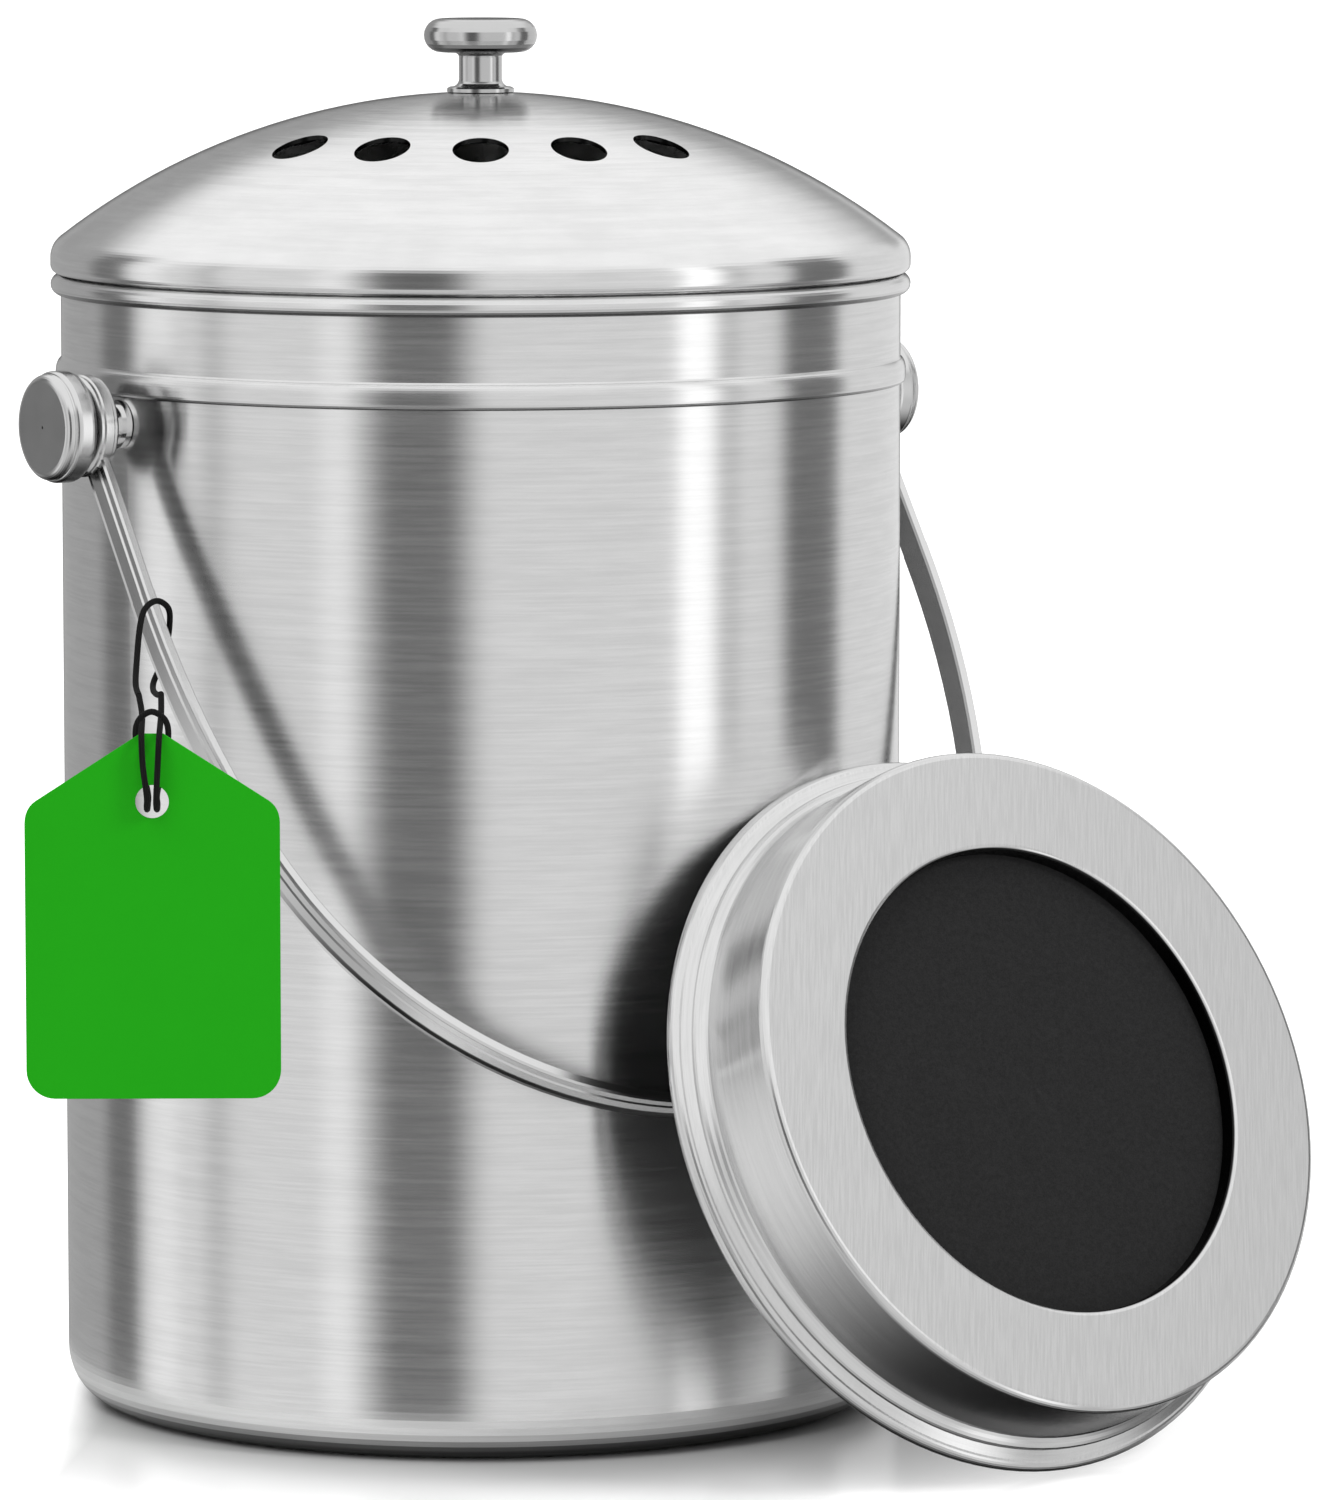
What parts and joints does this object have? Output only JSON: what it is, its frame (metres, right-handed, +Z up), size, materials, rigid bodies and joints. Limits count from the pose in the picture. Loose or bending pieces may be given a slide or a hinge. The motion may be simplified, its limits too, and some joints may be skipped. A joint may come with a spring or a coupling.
{
  "type": "compost caddy",
  "caption": "Round steel compost pail with a vented lift-off domed lid, a charcoal filter cup held inside it, a swinging bail with a hang tag, and a leaning spare filter cup.",
  "frame": {"origin": "centre of the underside of the pail's base", "axes": "+Z up along the pail's axis; X along the axis on which the bail turns, +X to the right seen from the front; -Y towards the front, where the bail hangs and the spare cup leans"},
  "size_m": [0.2407, 0.2437, 0.2766],
  "materials": {
    "pail_steel": "satin, fine level brushing",
    "lid_steel": "satin, fine circular brushing",
    "cup_steel": "satin, fine straight brushing",
    "bright_steel": "polished",
    "charcoal": "matt fibre pad loaded with carbon",
    "tag_card": "coloured card",
    "cord": "round elastic cord"
  },
  "bodies": {
    "pail": {"pail_shell": "pail_steel", "wall_washer_left": "bright_steel", "wall_washer_right": "bright_steel", "pivot_stud_left": "bright_steel", "pivot_stud_right": "bright_steel", "pivot_knob_left": "bright_steel", "pivot_knob_right": "bright_steel", "pivot_nut_left": "bright_steel", "pivot_nut_right": "bright_steel"},
    "lid": {"lid_dome": "lid_steel", "lid_collar": "lid_steel", "lid_knob": "bright_steel", "knob_washer": "bright_steel", "knob_screw": "bright_steel"},
    "filter": {"filter_cup": "cup_steel", "charcoal_filter": "charcoal"},
    "bail": {"bail_handle": "bright_steel", "tag_loop": "cord"},
    "tag": {"hang_tag": "tag_card", "tag_cord": "cord"},
    "spare": {"spare_filter_cup": "cup_steel", "spare_charcoal_filter": "charcoal"}
  },
  "joints": [
    {"name": "lid_lift", "type": "slide", "parent": "pail", "child": "lid", "axis": [0, 0, 1], "range_m": [0, 0.05]},
    {"name": "filter_pull", "type": "slide", "parent": "lid", "child": "filter", "axis": [0, 0, -1], "range_m": [0, 0.03]},
    {"name": "bail_swing", "type": "hinge", "parent": "pail", "child": "bail", "pos_m": [0, 0, 0.199], "axis": [-1, 0, 0], "range_deg": [0, 292]},
    {"name": "tag_swing", "type": "hinge", "parent": "bail", "child": "tag", "pos_m": [-0.102, -0.04097, 0.15051], "axis": [-1, 0, 0], "range_deg": [0, 67.7]},
    {"name": "spare_away", "type": "slide", "parent": "pail", "child": "spare", "axis": [0.0785, -0.9969, 0], "range_m": [0, 0.77]}
  ],
  "couplings": [
    {"joint": "tag_swing", "follows": "bail_swing", "ratio": 0.231},
    {"joint": "spare_away", "follows": "bail_swing", "m_per_rad": 0.15}
  ]
}
